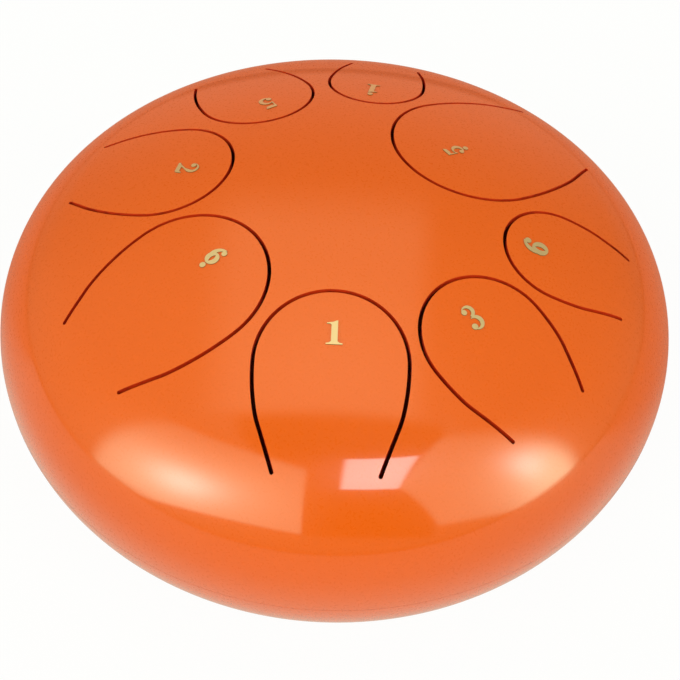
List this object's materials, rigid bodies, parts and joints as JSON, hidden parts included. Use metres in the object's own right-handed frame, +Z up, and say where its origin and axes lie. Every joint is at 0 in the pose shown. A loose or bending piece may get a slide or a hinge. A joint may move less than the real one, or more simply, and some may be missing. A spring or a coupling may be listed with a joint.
{
  "type": "steel tongue drum",
  "caption": "Round steel drum of welded domed halves, with tongues cut in the top that flex at their roots, gold note numbers, a sound hole below and rubber feet.",
  "frame": {"origin": "on the drum axis, at the level of the table under the three feet", "axes": "+Z up along the drum axis, -Y towards the player, where the tongue marked 1 is"},
  "size_m": [0.204, 0.204, 0.0992],
  "materials": {
    "orange_lacquer": "gloss orange lacquer over sheet steel",
    "black_rubber": "matt black rubber",
    "gold_foil": "bright gold foil sticker"
  },
  "bodies": {
    "shell": {"top_shell": "orange_lacquer", "bottom_shell": "orange_lacquer", "rim_weld": "orange_lacquer", "foot_1": "black_rubber", "foot_2": "black_rubber", "foot_3": "black_rubber"},
    "tongue_1": {"tongue_1": "orange_lacquer", "number_1": "gold_foil"},
    "tongue_3": {"tongue_3": "orange_lacquer", "number_3": "gold_foil"},
    "tongue_6": {"tongue_6": "orange_lacquer", "number_6": "gold_foil"},
    "tongue_low_5": {"tongue_low_5": "orange_lacquer", "number_low_5": "gold_foil"},
    "tongue_high_1": {"tongue_high_1": "orange_lacquer", "number_high_1": "gold_foil"},
    "tongue_5": {"tongue_5": "orange_lacquer", "number_5": "gold_foil"},
    "tongue_2": {"tongue_2": "orange_lacquer", "number_2": "gold_foil"},
    "tongue_low_6": {"tongue_low_6": "orange_lacquer", "number_low_6": "gold_foil"}
  },
  "joints": [
    {"name": "tongue_1_flex", "type": "hinge", "parent": "shell", "child": "tongue_1", "pos_m": [0, -0.08209, 0.08309], "axis": [-1, 0, 0], "range_deg": [-0.5, 0.5], "stiffness_Nm_per_rad": 3.3, "springref_deg": -0.07},
    {"name": "tongue_3_flex", "type": "hinge", "parent": "shell", "child": "tongue_3", "pos_m": [0.05309, -0.06327, 0.08281], "axis": [-0.766, -0.6428, 0], "range_deg": [-0.5, 0.5], "stiffness_Nm_per_rad": 2.1, "springref_deg": -0.08},
    {"name": "tongue_6_flex", "type": "hinge", "parent": "shell", "child": "tongue_6", "pos_m": [0.0788, -0.02111, 0.08336], "axis": [-0.2588, -0.9659, 0], "range_deg": [-0.5, 0.5], "stiffness_Nm_per_rad": 1.2, "springref_deg": -0.1},
    {"name": "tongue_low_5_flex", "type": "hinge", "parent": "shell", "child": "tongue_low_5", "pos_m": [0.06695, 0.04102, 0.08479], "axis": [0.5225, -0.8526, 0], "range_deg": [-0.5, 0.5], "stiffness_Nm_per_rad": 8.5, "springref_deg": -0.06},
    {"name": "tongue_high_1_flex", "type": "hinge", "parent": "shell", "child": "tongue_high_1", "pos_m": [0.01319, 0.07481, 0.08571], "axis": [0.9848, -0.1736, 0], "range_deg": [-0.5, 0.5], "stiffness_Nm_per_rad": 1, "springref_deg": -0.1},
    {"name": "tongue_5_flex", "type": "hinge", "parent": "shell", "child": "tongue_5", "pos_m": [-0.03804, 0.06457, 0.08606], "axis": [0.8616, 0.5075, 0], "range_deg": [-0.5, 0.5], "stiffness_Nm_per_rad": 1.8, "springref_deg": -0.09},
    {"name": "tongue_2_flex", "type": "hinge", "parent": "shell", "child": "tongue_2", "pos_m": [-0.07507, 0.01459, 0.08553], "axis": [0.1908, 0.9816, 0], "range_deg": [-0.5, 0.5], "stiffness_Nm_per_rad": 3.3, "springref_deg": -0.07},
    {"name": "tongue_low_6_flex", "type": "hinge", "parent": "shell", "child": "tongue_low_6", "pos_m": [-0.06003, -0.05218, 0.08435], "axis": [-0.6561, 0.7547, 0], "range_deg": [-0.5, 0.5], "stiffness_Nm_per_rad": 5.2, "springref_deg": -0.07}
  ]
}
